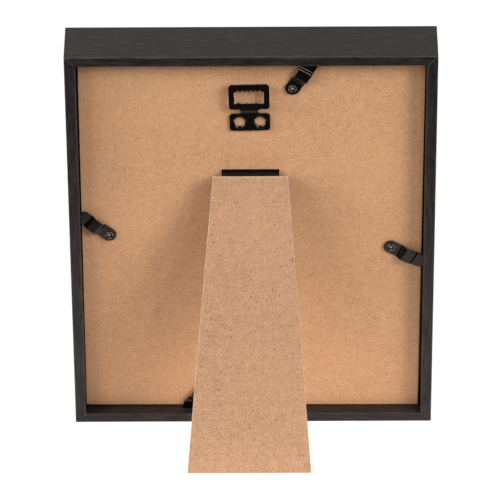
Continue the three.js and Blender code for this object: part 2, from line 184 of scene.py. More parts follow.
# Finishes. Sizes are in metres; marks are given as cell, length, width and share of the cells that hold one.
# On the rails, the worn tone along the rounded edges is partly wear and partly a painted highlight.
railLook = {
    "dark": (0.0015, 0.0012, 0.0011), "light": (0.052, 0.0433, 0.0416), "dust": (0.30, 0.28, 0.26),
    "worn": (0.105, 0.094, 0.09), "streak": 0.0006, "hair": 0.00024, "drawn": 0.045,
    "cloud": 0.004, "cloudDrawn": 0.2, "chip": 0.004, "mitreLine": (0.0001, 0.0005),
    "scuff": (0.034, 0.009, 0.00022, 0.22), "scuffDepth": 0.16,
    "speck": (0.011, 0.0007, 0.0004, 0.13), "speckDepth": 0.42,
    "roughness": 0.34, "gloss": 0.29, "glossTint": (1.0, 0.9, 0.87),
}


def railCharcoal():
    look = railLook
    material, wire, shader = startMaterial("railCharcoal")
    place = attribute(wire, "grain")
    lengthwise = place.vector("MULTIPLY", (1, 1, look["drawn"]))
    streak = noise(lengthwise, look["streak"], 4, 0.62)
    hair = noise(lengthwise, look["hair"], 2, 0.5)
    cloudy = noise(place.vector("MULTIPLY", (1, 1, look["cloudDrawn"])), look["cloud"], 3, 0.55)
    tone = ease(streak, 0.36, 0.68) * (ease(cloudy, 0.3, 0.7) * 0.36 + 0.2) + ease(hair, 0.36, 0.68) * 0.3
    part = place.node("ShaderNodeSeparateXYZ", {}, {"Vector": place}, "X")
    developed = part.node("ShaderNodeCombineXYZ", {}, {"X": part + part.also("Y"), "Y": part.also("Z")})
    scuff = strokes(developed, *look["scuff"])
    speck = strokes(developed, *look["speck"])
    colour = tint(tone, look["dark"], look["light"])
    colour = tint(scuff * look["scuffDepth"], colour, look["dust"])
    colour = tint(speck * look["speckDepth"], colour, look["dust"])
    ends = attribute(wire, "ends")
    end = ends.node("ShaderNodeSeparateXYZ", {}, {"Vector": ends}, "X")
    mitre = 1 - ease(end.math("MINIMUM", end, end.also("Y")), *look["mitreLine"])
    chipped = ease(noise(place, look["chip"], 3, 0.6), 0.4, 0.62)
    # lighter rounded edges: partly wear, partly a painted highlight; the pale line at the mitres is chipping
    worn = attribute(wire, "arris", "Fac") * (ease(streak, 0.3, 0.6) * 0.4 + 0.2) + mitre * chipped * 0.7
    colour = tint(worn, colour, look["worn"])
    feed(shader, colour, "Base Color")
    feed(shader, tone * 0.18 + look["roughness"], "Roughness")
    shader.inputs["Specular IOR Level"].default_value = look["gloss"]
    shader.inputs["Specular Tint"].default_value = (*look["glossTint"], 1)
    bump(shader, streak * 0.6 + hair * 0.4, 0.6, 0.00016)
    return material


hardboardLook = {
    "back": {
        "dark": (0.386, 0.2, 0.099), "light": (0.65, 0.368, 0.195), "warm": (0.63, 0.329, 0.1665),
        "cut": (0.72, 0.56, 0.43), "mottle": 0.0008, "contrast": 0.9,
        "speck": (0.24, 0.078, 0.032), "speckSize": (0.0009, 0.0006), "speckShare": 0.5,
        "speckDepth": 0.56, "speckFade": 0.0,
    },
    "leg": {
        "dark": (0.222, 0.1015, 0.047), "light": (0.508, 0.308, 0.179), "warm": (0.466, 0.248, 0.139),
        "cut": (0.66, 0.51, 0.385), "mottle": 0.0007, "contrast": 1.0,
        "speck": (0.15, 0.05, 0.018), "speckSize": (0.0013, 0.0008), "speckShare": 0.42,
        "speckDepth": 0.95, "speckFade": 0.95,
    },
    "fibreDark": (0.24, 0.078, 0.032), "fibrePale": (0.74, 0.53, 0.36), "patch": 0.0052, "broad": 0.06,
    "paleFibre": (0.0026, 0.0034, 0.0002, 0.55), "paleDepth": 0.30,
    "darkFibre": (0.0031, 0.0030, 0.00022, 0.5), "darkDepth": 0.26,
    "crumb": (0.0115, 0.0018, 0.0008, 0.34), "speckCell": 0.0036, "fuzz": 0.0006, "gloss": 0.32,
}


def hardboard(name, look):
    shared = hardboardLook
    material, wire, shader = startMaterial(name)
    place = attribute(wire, "drawn")
    fine = noise(place, look["mottle"], 3, 0.6, 0.5)
    patchy = noise(place, shared["patch"], 3, 0.55)
    broad = noise(place, shared["broad"], 2, 0.5)
    contrast = look["contrast"]
    tone = ease(fine, 0.30, 0.66) * (contrast * 0.8) + ease(patchy, 0.25, 0.75) * (contrast * 0.2)
    colour = tint(tone + (1 - contrast) * 0.6, look["dark"], look["light"])
    colour = tint(ease(broad, 0.3, 0.7) * 0.35, colour, look["warm"])
    # each kind of mark is shifted, so that their cells don't lie on each other
    pale = strokes(place, *shared["paleFibre"])
    dark = strokes(place.vector("ADD", (0.31, 0.17, 0)), *shared["darkFibre"])
    speckMark = (shared["speckCell"], *look["speckSize"], look["speckShare"], look["speckFade"])
    speck = strokes(place.vector("ADD", (0.07, 0.53, 0)), *speckMark)
    crumb = strokes(place.vector("ADD", (0.61, 0.29, 0)), *shared["crumb"])
    colour = tint(pale * shared["paleDepth"], colour, shared["fibrePale"])
    colour = tint(dark * shared["darkDepth"], colour, shared["fibreDark"])
    colour = tint(speck * look["speckDepth"], colour, look["speck"])
    colour = tint(crumb * look["speckDepth"], colour, look["speck"])
    edge = ease(attribute(wire, "cutFace", "Fac"), 0.05, 0.5)
    fuzz = noise(place.vector("MULTIPLY", (1, 1, 3)), shared["fuzz"], 3, 0.7)
    colour = tint(edge * (ease(fuzz, 0.2, 0.8) * 0.4 + 0.55), colour, look["cut"])
    feed(shader, colour, "Base Color")
    feed(shader, fine * 0.22 + 0.56, "Roughness")
    shader.inputs["Specular IOR Level"].default_value = shared["gloss"]
    bump(shader, fine * 0.7 + pale * 0.35 - speck * 0.5 - dark * 0.3 + edge * fuzz, 0.32, 0.00016)
    return material


# The bright colour stands for bare metal and for painted glints.
metalLook = {
    "dark": (0.0012, 0.0009, 0.0008), "light": (0.004, 0.0031, 0.0026), "worn": (0.105, 0.092, 0.082),
    "bare": (0.46, 0.43, 0.40), "bore": (0.40, 0.225, 0.14), "peel": 0.0007, "cloud": 0.006, "nick": 0.0022,
    "roughness": 0.07, "mattRoughness": 0.7, "gloss": 0.39, "rivetGloss": 0.2, "glossTint": (1.0, 0.9, 0.84),
}


def blackSatin(name, bored=False):
    look = metalLook
    material, wire, shader = startMaterial(name)
    place = objectPlace(wire)
    peel = noise(place, look["peel"], 3, 0.55)
    cloudy = noise(place, look["cloud"], 3, 0.5)
    nick = noise(place, look["nick"], 4, 0.7)
    tone = ease(peel, 0.3, 0.7) * 0.45 + ease(cloudy, 0.3, 0.7) * 0.55
    colour = tint(tone, look["dark"], look["light"])
    rubbed = attribute(wire, "cutFace", "Fac") * ease(nick, 0.46, 0.66)
    colour = tint(rubbed * 0.6, colour, look["worn"])
    # bright lines and spots: bare metal in part, and painted glints where bends, rims and edges catch the light
    bare = attribute(wire, "bareLine", "Fac") * ease(nick, 0.38, 0.6)
    colour = tint(bare, colour, look["bare"])
    shine = tone * 0.12 + look["roughness"]
    if bored:  # a rivet, with uncoated metal in its bore and a dull side
        inBore = attribute(wire, "boreFace", "Fac") * (ease(nick, 0.2, 0.7) * 0.4 + 0.5)
        colour = tint(inBore, colour, look["bore"])
        shine = shine + attribute(wire, "mattFace", "Fac") * look["mattRoughness"]
    feed(shader, colour, "Base Color")
    feed(shader, shine, "Roughness")
    shader.inputs["Specular IOR Level"].default_value = look["rivetGloss" if bored else "gloss"]
    shader.inputs["Specular Tint"].default_value = (*look["glossTint"], 1)
    bump(shader, peel * 0.5 + nick * 0.5, 0.14, 0.00008)
    return material


nailLook = {"dark": (0.34, 0.34, 0.33), "light": (0.56, 0.56, 0.55), "streak": 0.0006, "drawn": 0.1}


def nailSteel():
    look = nailLook
    material, wire, shader = startMaterial("nailSteel")
    place = objectPlace(wire)
    drawn = noise(place.vector("MULTIPLY", (look["drawn"], 1, 1)), look["streak"], 3, 0.6)
    feed(shader, tint(ease(drawn, 0.3, 0.7), look["dark"], look["light"]), "Base Color")
    feed(shader, drawn * 0.25 + 0.22, "Roughness")
    shader.inputs["Metallic"].default_value = 1.0
    return material


glassLook = {"body": (0.988, 0.995, 0.99), "bend": 1.52, "smear": 0.03, "clean": 0.012, "dull": 0.035}


def floatGlass():
    look = glassLook
    material, wire, shader = startMaterial("floatGlass")
    smear = noise(objectPlace(wire), look["smear"], 4, 0.6)
    feed(shader, ease(smear, 0.45, 0.8) * look["dull"] + look["clean"], "Roughness")
    shader.inputs["Base Color"].default_value = (*look["body"], 1)
    shader.inputs["Transmission Weight"].default_value = 1.0
    shader.inputs["IOR"].default_value = look["bend"]
    return material


cardLook = {
    "dark": (0.80, 0.775, 0.72), "light": (0.87, 0.85, 0.80), "tooth": 0.0009, "cloud": 0.035,
    "roughness": 0.72,
}


def insertCard():
    look = cardLook
    material, wire, shader = startMaterial("insertCard")
    place = objectPlace(wire)
    tooth = noise(place, look["tooth"], 4, 0.65)
    cloudy = noise(place, look["cloud"], 2, 0.5)
    tone = ease(tooth, 0.3, 0.7) * 0.6 + ease(cloudy, 0.3, 0.7) * 0.4
    feed(shader, tint(tone, look["dark"], look["light"]), "Base Color")
    feed(shader, tooth * 0.15 + look["roughness"], "Roughness")
    bump(shader, tooth, 0.2, 0.00006)
    return material


finishes = {
    "rail_black": railCharcoal(),
    "fibreboard": hardboard("hardboardBack", hardboardLook["back"]),
    "leg_fibreboard": hardboard("hardboardLeg", hardboardLook["leg"]),
    "black_metal": blackSatin("blackSatin"),
    "nail_steel": nailSteel(),
    "clear_glass": floatGlass(),
    "insert_paper": insertCard(),
}
rivetFinish = blackSatin("blackSatinRivet", bored=True)
print("finishes made:", ", ".join(material.name for material in finishes.values()))


# Shared ways of making a piece
def newObject(name, data):
    made = bpy.data.objects.new(name, data)
    scene.collection.objects.link(made)
    return made


def evaluatedMesh(holder):
    bpy.context.view_layer.update()
    depsgraph = bpy.context.evaluated_depsgraph_get()
    return bpy.data.meshes.new_from_object(holder.evaluated_get(depsgraph), depsgraph=depsgraph)


def discard(holder):
    data = holder.data
    bpy.data.objects.remove(holder)
    if isinstance(data, bpy.types.Curve):
        bpy.data.curves.remove(data)
    else:
        bpy.data.meshes.remove(data)


def bakeModifiers(piece):
    mesh = evaluatedMesh(piece)
    piece.modifiers.clear()
    old = piece.data
    piece.data = mesh
    bpy.data.meshes.remove(old)
    mesh.name = piece.name


def soften(piece, width, angle=35, segments=3):  # small round on every sharp edge
    edge = piece.modifiers.new("edge", "BEVEL")
    edge.width = width
    edge.segments = segments
    edge.limit_method = "ANGLE"
    edge.angle_limit = math.radians(angle)
    edge.use_clamp_overlap = False
    edge.harden_normals = False


def smooth(piece, angle=40):
    piece.data.shade_smooth()
    piece.data.set_sharp_from_angle(angle=math.radians(angle))
    weights = piece.modifiers.new("weights", "WEIGHTED_NORMAL")
    weights.keep_sharp = True
    bakeModifiers(piece)


def rounded(corners, steps=6):  # closed outline; each corner is x, y and its radius
    outline = []
    for index, (x, y, radius) in enumerate(corners):
        here = Vector((x, y))
        before = Vector(corners[index - 1][:2]) - here
        after = Vector(corners[(index + 1) % len(corners)][:2]) - here
        if radius <= 0:
            outline.append((x, y))
            continue
        half = before.angle(after) / 2
        middle = here + (before.normalized() + after.normalized()).normalized() * (radius / math.sin(half))
        start = here + before.normalized() * (radius / math.tan(half)) - middle
        end = here + after.normalized() * (radius / math.tan(half)) - middle
        sweep = start.angle_signed(end)
        for step in range(steps + 1):
            turn = -sweep * step / steps
            arm = Vector((start.x * math.cos(turn) - start.y * math.sin(turn),
                          start.x * math.sin(turn) + start.y * math.cos(turn)))
            outline.append(tuple(middle + arm))
    return outline


def arc(radius, middle, start, sweep, steps):  # points round (0, middle); start and sweep are in half turns
    turns = [math.pi * (start + sweep * step / steps) for step in range(steps + 1)]
    return [(radius * math.cos(turn), middle + radius * math.sin(turn)) for turn in turns]


def sliceMesh(work, place, normal):  # adds a line of edges, and cuts nothing away
    geometry = work.verts[:] + work.edges[:] + work.faces[:]
    bmesh.ops.bisect_plane(work, geom=geometry, plane_co=place, plane_no=normal, dist=0.0005)


# A flat sheet with rounded edges. The first loop is its outline and the others are holes.
# It is sliced along a line at each y in cuts, where it can bend.
def cutSheet(name, loops, thickness, edge, cuts=(), lift=0.0):
    drawing = bpy.data.curves.new(name, "CURVE")
    drawing.dimensions = "2D"
    drawing.fill_mode = "BOTH"
    drawing.extrude = thickness / 2 - edge
    drawing.bevel_depth = edge
    drawing.bevel_resolution = 2
    drawing.offset = -edge
    for loop in loops:
        spline = drawing.splines.new("POLY")
        spline.points.add(len(loop) - 1)
        for point, (x, y) in zip(spline.points, loop):
            point.co = (x, y, 0, 1)
        spline.use_cyclic_u = True
    holder = newObject(name, drawing)
    mesh = evaluatedMesh(holder)
    discard(holder)
    work = bmesh.new()
    work.from_mesh(mesh)
    bmesh.ops.remove_doubles(work, verts=work.verts, dist=0.002)
    for value in cuts:
        sliceMesh(work, (0, value, 0), (0, 1, 0))
    bmesh.ops.translate(work, verts=work.verts, vec=(0, 0, lift + thickness / 2))
    bmesh.ops.recalc_face_normals(work, faces=work.faces)
    work.to_mesh(mesh)
    work.free()
    drawnOn = mesh.attributes.new("drawn", "FLOAT_VECTOR", "POINT")
    for vertex, mark in zip(mesh.vertices, drawnOn.data):
        mark.vector = vertex.co * mm
    cutOn = mesh.attributes.new("cutFace", "FLOAT", "FACE")
    for face, mark in zip(mesh.polygons, cutOn.data):
        mark.value = 1 - abs(face.normal.z)
    return mesh


def bendSheet(mesh, height, slope):  # raises the sheet to height(y), keeping its thickness
    for vertex in mesh.vertices:
        x, y, z = vertex.co
        steep = slope(y)
        stretch = math.hypot(1, steep)
        vertex.co = (x, y - z * steep / stretch, height(y) + z / stretch)


# Height, slope and cuts of a bent sheet.
# Each rise is a ramp: its start, its end, the height gained, and how soft its two corners are.
def hump(rises):
    def corner(value, soft):
        if value <= -soft:
            return 0.0, 0.0
        if value >= soft:
            return value, 1.0
        return (value + soft) ** 2 / (4 * soft), (value + soft) / (2 * soft)

    def profile(y):
        total, steep = 0.0, 0.0
        for start, end, gain, softStart, softEnd in rises:
            low, lowSlope = corner(y - start, softStart)
            high, highSlope = corner(y - end, softEnd)
            total += (low - high) * gain / (end - start)
            steep += (lowSlope - highSlope) * gain / (end - start)
        return total, steep

    cuts = []
    for start, end, gain, softStart, softEnd in rises:
        for place, soft in ((start, softStart), (end, softEnd)):
            cuts += [place + soft * (step / 3 - 1) for step in range(7)]  # over the whole corner
    cuts.sort()
    return (lambda y: profile(y)[0]), (lambda y: profile(y)[1]), cuts


def newPiece(name, mesh, place, slot, material=None):
    mesh.transform(place)
    mesh.materials.clear()
    mesh.materials.append(material or finishes[slot])
    piece = newObject(name, mesh)
    mesh.name = name
    smooth(piece)
    return piece


def declare(piece, body, slot, *nodes):
    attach(piece, body)
    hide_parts(*nodes)


def softenedCopy(name, node, width, slot, body):  # a CAD node with its sharp edges rounded
    mesh = frame["nodes"][node].data.copy()
    work = bmesh.new()
    work.from_mesh(mesh)
    bmesh.ops.remove_doubles(work, verts=work.verts, dist=0.000002)
    bmesh.ops.dissolve_limit(work, angle_limit=math.radians(0.5), verts=work.verts, edges=work.edges)
    bmesh.ops.recalc_face_normals(work, faces=work.faces)
    work.to_mesh(mesh)
    work.free()
    mesh.materials.clear()
    mesh.materials.append(finishes[slot])
    piece = newObject(name, mesh)
    soften(piece, width)
    bakeModifiers(piece)
    smooth(piece)
    declare(piece, body, slot, node)


def newTree(name, sockets):
    tree = bpy.data.node_groups.new(name, "GeometryNodeTree")
    tree.interface.new_socket("Geometry", in_out="INPUT", socket_type="NodeSocketGeometry")
    keys = {}
    for label, kind in sockets.items():
        keys[label] = tree.interface.new_socket(label, in_out="INPUT", socket_type=kind).identifier
    tree.interface.new_socket("Geometry", in_out="OUTPUT", socket_type="NodeSocketGeometry")
    return tree, keys, Wire(tree).node("NodeGroupInput")


def closeTree(made, material):  # every tree ends in Realize Instances and Set Material
    real = made.node("GeometryNodeRealizeInstances", {}, {"Geometry": made})
    coated = real.node("GeometryNodeSetMaterial", {}, {"Geometry": real, "Material": material})
    coated.node("NodeGroupOutput", {}, {"Geometry": coated})


def growTree(holder, tree, keys, values):
    grow = holder.modifiers.new(tree.name, "NODES")
    grow.node_group = tree
    for label, value in values.items():
        grow[keys[label]] = value


# Turn buttons' sizes, which come first because the rails' slots need them too
turnButton = {
    "width": 8.8, "thick": 0.9, "tip": 19.75, "edge": 0.16, "seat": -8.1, "rise": 2.35, "fall": 0.3,
    "tipRise": 0.9, "rampUp": (6.0, 8.9), "rampDown": (14.5, 16.2), "soft": 0.36, "softInside": 0.72,
    "hole": 1.9, "endSteps": 24, "holeSides": 32,
    "angles": {"top": 90 - 31.719, "left": 180 - 41.901, "bottom": 270 - 37.826, "right": -29.438},
}

# Rails: one moulding, swept along its length and mitred by a node tree
rail = {
    "depth": 32.7, "face": 12.7, "rebate": 14, "slotAt": 6.75, "slotWidth": 1.7, "slotDepth": 3.2,
    "slotMargin": 0.9, "slotAhead": 1.5, "round": 0.45, "innerRound": 0.35, "ledgeRound": 0.3,
    "wearAndHighlightWidth": 0.9, "innerWearAndHighlight": 0.5, "mitreGap": 0.09, "arris": 0.14, "grainStep": 0.37,
}


def mouldingOutline():
    wall = frameSize["wall"]
    low = -rail["slotAt"] - rail["slotWidth"] / 2
    high = -rail["slotAt"] + rail["slotWidth"] / 2
    worn, front, face = rail["wearAndHighlightWidth"], -rail["depth"], rail["face"]
    return rounded([
        (0, front, rail["round"]), (worn, front, 0), (face - worn, front, 0), (face, front, rail["round"]),
        (face, front + worn, 0), (face, -rail["rebate"], rail["ledgeRound"]), (wall, -rail["rebate"], 0),
        (wall, low, 0), (wall, high, 0), (wall, -worn, 0), (wall, 0, rail["innerRound"]),
        (wall - worn, 0, 0), (worn, 0, 0), (0, 0, rail["round"]), (0, -worn, 0), (0, front + worn, 0),
    ])


def storeVector(mesh, name, value):
    settings = {"data_type": "FLOAT_VECTOR", "domain": "POINT"}
    values = {"Geometry": mesh, "Name": name, "Value": value}
    return mesh.node("GeometryNodeStoreNamedAttribute", settings, values)


def mitredRailTree():
    sockets = {
        "Length": "NodeSocketFloat", "Mitre Gap": "NodeSocketFloat", "Grain Shift": "NodeSocketFloat",
        "Finish": "NodeSocketMaterial",
    }
    tree, keys, given = newTree("mitredRail", sockets)
    length, gap, shift = (given.also(label) for label in ("Length", "Mitre Gap", "Grain Shift"))
    far = length.node("ShaderNodeCombineXYZ", {}, {"Z": length})
    values = {"Mesh": given, "Offset": far, "Offset Scale": 1.0}
    drawnOut = given.node("GeometryNodeExtrudeMesh", {"mode": "FACES"}, values)
    nearEnd = given.node("GeometryNodeFlipFaces", {}, {"Mesh": given})
    solid = given.node("GeometryNodeJoinGeometry", {}, {"Geometry": [drawnOut, nearEnd]})
    solid = solid.node("GeometryNodeMergeByDistance", {}, {"Geometry": solid, "Distance": 0.001})
    place = solid.node("GeometryNodeInputPosition")
    shifted = given.node("ShaderNodeCombineXYZ", {}, {"Y": shift, "Z": shift})
    grain = place.vector("MULTIPLY", (mm, mm, mm)).vector("ADD", shifted)
    marked = storeVector(solid, "grain", grain)
    inset = place.node("ShaderNodeSeparateXYZ", {}, {"Vector": place}, "X")
    along = inset.also("Z")
    fromEnds = inset.node("ShaderNodeCombineXYZ", {}, {"X": along * mm, "Y": (length - along) * mm})
    marked = storeVector(marked, "ends", fromEnds)
    atFarEnd = inset.math("GREATER_THAN", along, length * 0.5)
    back = (inset + gap) * (1 - atFarEnd * 2)  # each end is cut back by its inset
    offset = back.node("ShaderNodeCombineXYZ", {}, {"Z": back})
    mitred = marked.node("GeometryNodeSetPosition", {}, {"Geometry": marked, "Offset": offset})
    closeTree(mitred, given.also("Finish"))
    return tree, keys


def cutSlot(mesh, pivot):  # a slot in the inner wall, as long as the chord that the button's tip sweeps
    wall = frameSize["wall"]
    sweep = turnButton["tip"] + turnButton["width"] / 2
    chord = math.sqrt(sweep ** 2 - (pivot.x - wall) ** 2)
    ends = (pivot.z - chord - rail["slotMargin"], pivot.z + rail["slotAhead"])
    work = bmesh.new()
    work.from_mesh(mesh)
    for value in ends:
        sliceMesh(work, (0, 0, value), (0, 0, 1))
    middle = Vector((wall, -rail["slotAt"], sum(ends) / 2))
    mouth = min(work.faces, key=lambda face: (face.calc_center_median() - middle).length)
    floor = bmesh.ops.extrude_discrete_faces(work, faces=[mouth])["faces"]
    bmesh.ops.translate(work, verts=floor[0].verts, vec=(-rail["slotDepth"], 0, 0))
    bmesh.ops.recalc_face_normals(work, faces=work.faces)
    work.to_mesh(mesh)
    work.free()


def makeRails():
    tree, keys = mitredRailTree()
    outline = mouldingOutline()
    wall, front = frameSize["wall"], -rail["depth"]
    # each rounded edge's share of the lighter band, which is partly wear and partly a painted highlight
    wearAndHighlightCorners = [
        ((0, 0), 1.0), ((wall, 0), rail["innerWearAndHighlight"]), ((0, front), 1.0), ((rail["face"], front), 1.0),
    ]
    halfWidth, height = frameSize["width"] / 2, frameSize["height"]
    # inset up, length along x
    lengthwise = Matrix(((0, 0, 1, 0), (1, 0, 0, 0), (0, 1, 0, 0), (0, 0, 0, 1)))
    # where each rail starts, which way it is turned, and its length
    corners = {
        "bottom": (-halfWidth, 0, 0, 2 * halfWidth), "right": (halfWidth, 0, 90, height),
        "top": (halfWidth, height, 180, 2 * halfWidth), "left": (-halfWidth, height, 270, height),
    }
    for order, (side, (x, y, turn, length)) in enumerate(corners.items()):
        profile = bpy.data.meshes.new(side + "Profile")
        profile.from_pydata([(inset, depth, 0) for inset, depth in outline], [], [range(len(outline))])
        worn = profile.attributes.new("arris", "FLOAT", "POINT")
        for vertex, mark in zip(profile.vertices, worn.data):
            near = [(1 - (vertex.co.xy - Vector(corner)).length / rail["wearAndHighlightWidth"]) * share
                    for corner, share in wearAndHighlightCorners]
            mark.value = max(0.0, *near)
        holder = newObject(side + "Profile", profile)
        values = {
            "Length": float(length), "Mitre Gap": rail["mitreGap"], "Grain Shift": rail["grainStep"] * order,
            "Finish": finishes["rail_black"],
        }
        growTree(holder, tree, keys, values)
        mesh = evaluatedMesh(holder)
        discard(holder)
        place = fromBehind @ Matrix.Translation((x, y, 0)) @ turnedBy(turn) @ lengthwise
        cutSlot(mesh, place.inverted() @ Vector(joints[f"button_{side}_pivot"]["pos_m"]))
        holder = newObject(side + "Rail", mesh)
        soften(holder, rail["arris"])
        mesh = evaluatedMesh(holder)
        discard(holder)
        piece = newPiece(side + "Rail", mesh, place, "rail_black")
        declare(piece, "frame", "rail_black", "rail_" + side)
    print("rails swept and mitred:", len(corners))


makeRails()

# Sheets held in the rebate, and the nails across the mitres
sheets = {
    "board": {"left": -102.85, "right": 102.45, "low": 6.95, "high": 263.3, "seat": -10.9, "thick": 2.5,
              "turn": -0.2, "corner": 0.5, "edge": 0.35},
    "glass": {"gap": 1.7, "low": 6.8, "seat": -13.7, "thick": 1.8, "corner": 0.6, "edge": 0.3},
}


def plate(left, right, low, high, corner):
    points = [(left, low), (right, low), (right, high), (left, high)]
    return rounded([(x, y, corner) for x, y in points], 3)


def makeSheets():
    board = sheets["board"]
    outline = plate(board["left"], board["right"], board["low"], board["high"], board["corner"])
    mesh = cutSheet("backBoard", [outline], board["thick"], board["edge"], lift=board["seat"])
    middle = Matrix.Translation((0, (board["low"] + board["high"]) / 2, 0))
    turned = middle @ turnedBy(board["turn"]) @ middle.inverted()
    piece = newPiece("backBoard", mesh, fromBehind @ turned, "fibreboard")
    declare(piece, "frame", "fibreboard", "backing_board")
    pane = sheets["glass"]
    side = frameSize["width"] / 2 - frameSize["wall"] - pane["gap"]
    top = frameSize["height"] - frameSize["wall"] - pane["gap"]
    outline = plate(-side, side, pane["low"], top, pane["corner"])
    mesh = cutSheet("glassPane", [outline], pane["thick"], pane["edge"], lift=pane["seat"])
    piece = newPiece("glassPane", mesh, fromBehind, "clear_glass")
    declare(piece, "frame", "clear_glass", "glass_pane")
    kept = {"photo_insert": "insert_paper"}
    for node in frame["nodes"]:
        if node.startswith("v_nail"):
            kept[node] = "nail_steel"
    for node, slot in kept.items():
        frame["nodes"][node].material_slots[0].material = finishes[slot]
    print("board and glass cut; solids kept with a finish:", len(kept))


makeSheets()


# Turn buttons: one pressed strip, four times, each on its own hinge
def makeTurnButtons():
    radius, steps = turnButton["width"] / 2, turnButton["endSteps"]
    outline = arc(radius, turnButton["tip"], 0, 1, steps) + arc(radius, 0, 1, 1, steps)
    hole = arc(turnButton["hole"], 0, 0, -2, turnButton["holeSides"])[:-1]
    soft, inside = turnButton["soft"], turnButton["softInside"]
    rise, fall, up, down = (turnButton[key] for key in ("rise", "fall", "rampUp", "rampDown"))
    height, slope, cuts = hump([(*up, rise, inside, soft), (up[1], down[0], -fall, soft, soft),
                                (*down, turnButton["tipRise"] + fall - rise, soft, inside)])
    for side, angle in turnButton["angles"].items():
        mesh = cutSheet(side + "Button", [outline, hole], turnButton["thick"], turnButton["edge"], cuts)
        bendSheet(mesh, height, slope)
        pivot = jointPlace(f"button_{side}_pivot")
        pivot.z = turnButton["seat"]
        turned = Matrix.Translation(pivot) @ turnedBy(angle - 90)
        piece = newPiece(side + "TurnButton", mesh, fromBehind @ turned, "black_metal")
        declare(piece, "button_" + side, "black_metal", "turn_button_" + side)
    print("turn buttons pressed:", len(turnButton["angles"]))


makeTurnButtons()

# Rivets: one turned shape, set at the four pivots by a node tree
rivet = {
    "seat": -8.4, "shank": 1.8, "board": 2.8, "flange": 2.75, "low": 1.26, "high": 1.77, "lip": 2.1,
    "bore": 1.15, "boreDepth": 0.6, "lobes": 8, "lobe": 0.36, "sides": 48, "turnSeed": 4,
}


# Radius, height, lobe and finish of each ring, from the hidden head over the rim to the floor of the bore
def rivetOutline():
    shank, low, high, lobe = (rivet[key] for key in ("shank", "low", "high", "lobe"))
    lip, bore, floor = rivet["lip"], rivet["bore"], high - rivet["boreDepth"]
    head = -rivet["board"]
    rings = [(0, head, 0, "plain"), (shank, head, 0, "plain"), (shank, low, 0, "matt")]
    roll = (high - low) / 2
    # one ring on the upper part of the rim carries a painted glint
    rim = ["matt"] * 5 + ["plain", "bare", "plain", "plain"]  # half a circle, from below to above
    for step, finish in enumerate(rim):
        turn = math.radians(-90 + 180 * step / (len(rim) - 1))
        radius = rivet["flange"] - roll + roll * math.cos(turn)
        rings.append((radius, low + roll + roll * math.sin(turn), 0, finish))
    # the bright rings at the lip are partly bare crimped metal and partly painted glints
    return rings + [
        (lip + 0.27, high, 0, "plain"), (lip + 0.13, high, 0, "bare"), (lip, high - 0.03, 0, "bare"),
        (lip - 0.13, high - 0.14, 0, "matt"), (bore + 0.45, high - 0.3, lobe * 0.6, "matt"),
        (bore + 0.2, high - 0.45, lobe, "matt"), (bore + 0.06, floor + 0.05, lobe, "matt"),
        (bore - 0.04, floor, lobe, "bore"), (0, floor - 0.02, 0, "bore"),
    ]


def turnedMesh(name, outline, sides):
    work = bmesh.new()
    rings, finishesOn = [], []
    for radius, height, lobe, finish in outline:
        ring = []
        for step in range(sides if radius else 1):
            turn = 2 * math.pi * step / sides
            reach = radius - lobe * (1 - math.cos(rivet["lobes"] * turn)) / 2
            ring.append(work.verts.new((reach * math.cos(turn), reach * math.sin(turn), height)))
            finishesOn.append(finish)
        rings.append(ring)
    for first, second in zip(rings, rings[1:]):
        for step in range(sides):
            quad = [first[step % len(first)], first[(step + 1) % len(first)],
                    second[(step + 1) % len(second)], second[step % len(second)]]
            work.faces.new(list(dict.fromkeys(quad)))
    bmesh.ops.recalc_face_normals(work, faces=work.faces)
    mesh = bpy.data.meshes.new(name)
    work.to_mesh(mesh)
    work.free()
    marks = {"mattFace": ("matt", 1.0), "bareLine": ("bare", 0.8), "boreFace": ("bore", 1.0)}
    for key, (finish, amount) in marks.items():
        layer = mesh.attributes.new(key, "FLOAT", "POINT")
        for mark, found in zip(layer.data, finishesOn):
            mark.value = amount if found == finish else 0.0
    return mesh


def rivetTree():
    sockets = {"Rivet": "NodeSocketObject", "Finish": "NodeSocketMaterial"}
    tree, keys, given = newTree("rivetsAtPivots", sockets)
    shape = given.node("GeometryNodeObjectInfo", {}, {"Object": given.also("Rivet")}, "Geometry")
    points = given.node("GeometryNodeMeshToPoints", {"mode": "VERTICES"}, {"Mesh": given})
    values = {"Min_001": 0.0, "Max_001": 2 * math.pi, "Seed": rivet["turnSeed"]}
    turn = given.node("FunctionNodeRandomValue", {"data_type": "FLOAT"}, values, "Value_001")
    spun = turn.node("FunctionNodeAxisAngleToRotation", {}, {"Axis": (0, 0, 1), "Angle": turn})
    values = {"Points": points, "Instance": shape, "Rotation": spun}
    put = points.node("GeometryNodeInstanceOnPoints", {}, values)
    closeTree(put, given.also("Finish"))
    return tree, keys


def makeRivets():
    tree, keys = rivetTree()
    shape = turnedMesh("rivetShape", rivetOutline(), rivet["sides"])
    source = newObject("rivetShape", shape)
    pivots = []
    for side in turnButton["angles"]:
        pivot = jointPlace(f"button_{side}_pivot")
        pivots.append((pivot.x, pivot.y, rivet["seat"]))
    spots = bpy.data.meshes.new("pivots")
    spots.from_pydata(pivots, [], [])
    holder = newObject("pivots", spots)
    growTree(holder, tree, keys, {"Rivet": source, "Finish": rivetFinish})
    mesh = evaluatedMesh(holder)
    discard(holder)
    discard(source)
    piece = newPiece("rivets", mesh, fromBehind, "black_metal", rivetFinish)
    declare(piece, "frame", "black_metal", *("rivet_" + side for side in turnButton["angles"]))
    print("rivets set:", len(pivots))


makeRivets()

